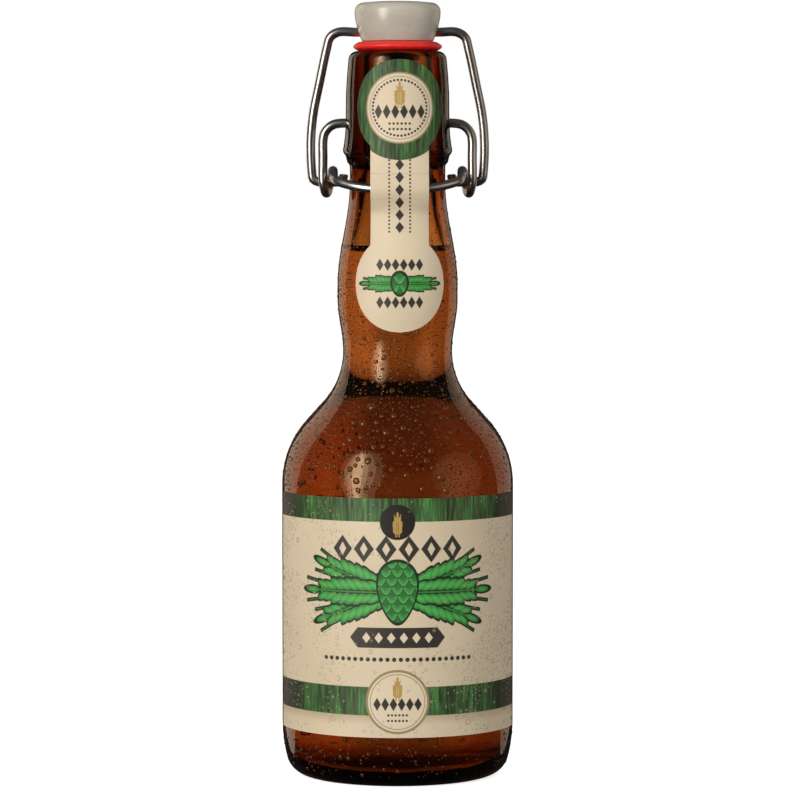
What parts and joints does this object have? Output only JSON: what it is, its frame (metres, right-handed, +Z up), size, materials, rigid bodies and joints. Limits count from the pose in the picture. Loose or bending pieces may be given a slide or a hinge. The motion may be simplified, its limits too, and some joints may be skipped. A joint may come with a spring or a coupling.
{
  "type": "swing-top beer bottle",
  "caption": "Small amber-glass beer bottle with a waisted neck, filled with beer and shut by a wire swing-top closure with a pale stopper and red washer.",
  "frame": {"origin": "middle of the bottle's foot, on the surface it stands on", "axes": "+Z up the bottle, the labels face -Y, the closure's pivots lie along X"},
  "size_m": [0.0676, 0.0679, 0.2254],
  "materials": {
    "amber_glass": "gloss",
    "beer": "gloss",
    "label_paper": "matte",
    "seal_paper": "matte",
    "steel_wire": "satin",
    "stopper": "gloss",
    "red_rubber": "satin"
  },
  "bodies": {
    "bottle": {"bottle": "amber_glass", "beer": "beer", "front_label": "label_paper", "seal_head": "seal_paper", "seal_neck": "seal_paper"},
    "lever": {"lower_bail": "steel_wire", "seal_bridge": "seal_paper"},
    "bail": {"upper_bail": "steel_wire"},
    "stopper": {"stopper": "stopper", "washer": "red_rubber"}
  },
  "joints": [
    {"name": "lever_swing", "type": "hinge", "parent": "bottle", "child": "lever", "pos_m": [0, 0, 0.1901], "axis": [1, 0, 0], "range_deg": [-85, 0]},
    {"name": "bail_swing", "type": "hinge", "parent": "lever", "child": "bail", "pos_m": [0, 0.002, 0.1731], "axis": [1, 0, 0], "range_deg": [0, 51.9]},
    {"name": "stopper_swing", "type": "hinge", "parent": "bail", "child": "stopper", "pos_m": [0, 0, 0.2165], "axis": [1, 0, 0], "range_deg": [0, 33.2]}
  ],
  "couplings": [
    {"joint": "bail_swing", "follows": "lever_swing", "ratio": -0.61},
    {"joint": "stopper_swing", "follows": "lever_swing", "ratio": -0.39}
  ]
}
